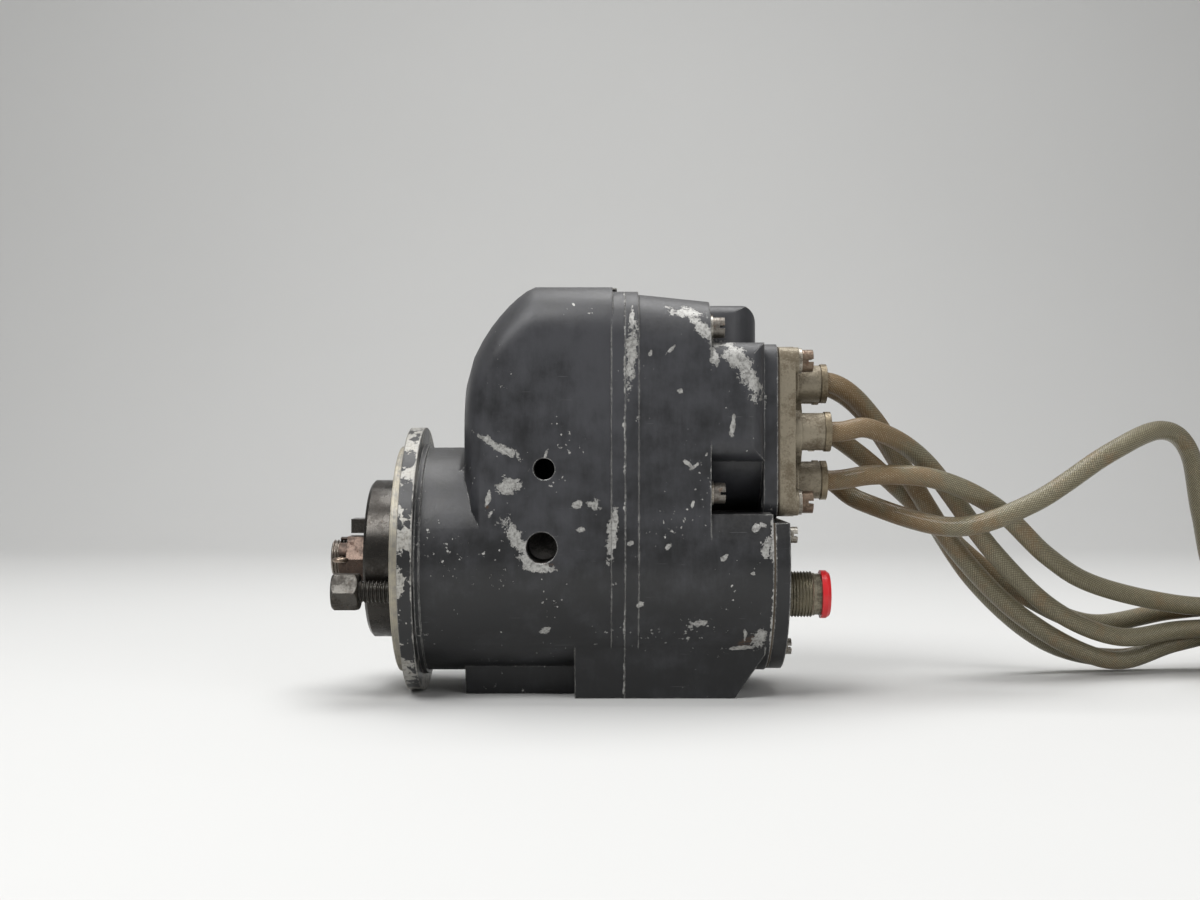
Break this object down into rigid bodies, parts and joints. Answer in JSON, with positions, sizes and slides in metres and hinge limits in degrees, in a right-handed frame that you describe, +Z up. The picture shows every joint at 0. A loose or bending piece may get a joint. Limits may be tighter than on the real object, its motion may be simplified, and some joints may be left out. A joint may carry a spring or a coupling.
{
  "type": "aircraft magneto",
  "caption": "Aircraft ignition magneto with a domed coil housing, a flanged drive end with coupling disc, and braided spark plug leads leaving its outlet plate.",
  "frame": {"origin": "centre of the mounting pilot, on the shaft axis at the face of the mounting flange", "axes": "+X along the shaft from the drive end to the leads, +Z up through the coil tower"},
  "size_m": [0.5478, 0.1491, 0.1703],
  "materials": {
    "black_paint": "worn satin charcoal-black paint with bare aluminium chips",
    "bare_plate": "plain bright plate",
    "dark_steel": "oiled dark steel",
    "screw_steel": "tarnished plated steel",
    "rusty_screw": "brown-stained plated steel",
    "tan_casting": "dull tan chromated casting",
    "ferrule_metal": "tarnished ferrule",
    "braid": "lacquered olive-tan braid",
    "gasket": "oiled paper",
    "receptacle_metal": "gold-green plated",
    "red_cap": "soft red plastic",
    "seal_rubber": "black seal",
    "bearing_steel": "ground steel",
    "cast_plate": "machined casting",
    "lamination": "stacked iron sheets",
    "magnet": "magnet alloy",
    "winding": "varnished tape",
    "moulding": "brown-red moulding",
    "contact_brass": "contact metal",
    "gear_fibre": "fibre gear",
    "nut_metal": "pinkish-brown plated nut",
    "shaft_steel": "stained steel",
    "tie_plastic": "black strap",
    "plug_steel": "plated steel",
    "plug_sleeve": "pale insulator"
  },
  "bodies": {
    "housing": {"drive_end_housing": "black_paint", "distributor_housing": "black_paint", "data_plate": "bare_plate", "case_screws": "rusty_screw", "case_washers": "screw_steel", "outlet_plate": "tan_casting", "outlet_gasket": "gasket", "outlet_screws": "rusty_screw", "outlet_washers": "screw_steel", "lead_ferrules": "ferrule_metal", "breaker_cover": "black_paint", "breaker_cover_gasket": "gasket", "breaker_cover_screws": "screw_steel", "primary_receptacle": "receptacle_metal", "dust_cap": "red_cap", "stop_bolt": "dark_steel", "oil_seal": "seal_rubber", "bearing_outer_races": "bearing_steel", "bearing_plate": "cast_plate", "bearing_plate_screws": "screw_steel", "pole_shoes": "lamination", "coil_core": "lamination", "coil_winding": "winding", "distributor_block": "moulding", "electrodes": "contact_brass", "breaker_plate": "cast_plate", "breaker_plate_screws": "screw_steel", "breaker_pivot": "bearing_steel", "fixed_contact": "contact_brass", "capacitor": "screw_steel", "lead_1": "braid", "lead_2": "braid", "lead_3": "braid", "lead_4": "braid", "lead_5": "braid", "lead_6": "braid", "harness_coil": "braid", "harness_ties": "tie_plastic", "lead_tails": "braid", "plug_nuts": "plug_steel", "plug_ferrules": "contact_brass", "plug_sleeves": "plug_sleeve", "plug_contacts": "contact_brass"},
    "rotor": {"rotor_shaft": "shaft_steel", "rotor_magnet": "magnet", "bearing_inner_races": "bearing_steel", "bearing_balls": "bearing_steel", "drive_coupling": "dark_steel", "drive_key": "bearing_steel", "drive_washer": "screw_steel", "castle_nut": "nut_metal", "cotter_pin": "rusty_screw", "pinion_gear": "bearing_steel", "cam": "bearing_steel", "cam_screw": "screw_steel"},
    "distributor": {"distributor_gear": "gear_fibre", "distributor_shaft": "bearing_steel", "rotor_finger": "moulding"},
    "breaker": {"breaker_arm": "contact_brass"}
  },
  "joints": [
    {"name": "rotor_spin", "type": "hinge", "parent": "housing", "child": "rotor", "pos_m": [0, 0, 0], "axis": [1, 0, 0], "continuous": true},
    {"name": "distributor_spin", "type": "hinge", "parent": "housing", "child": "distributor", "pos_m": [0.1, 0, 0.054], "axis": [1, 0, 0], "continuous": true},
    {"name": "breaker_arm_pivot", "type": "hinge", "parent": "housing", "child": "breaker", "pos_m": [0.134, 0.022, -0.022], "axis": [1, 0, 0], "range_deg": [0, 3], "stiffness_Nm_per_rad": 0.5, "springref_deg": -2.86}
  ],
  "couplings": [
    {"joint": "distributor_spin", "follows": "rotor_spin", "ratio": -0.33333}
  ]
}
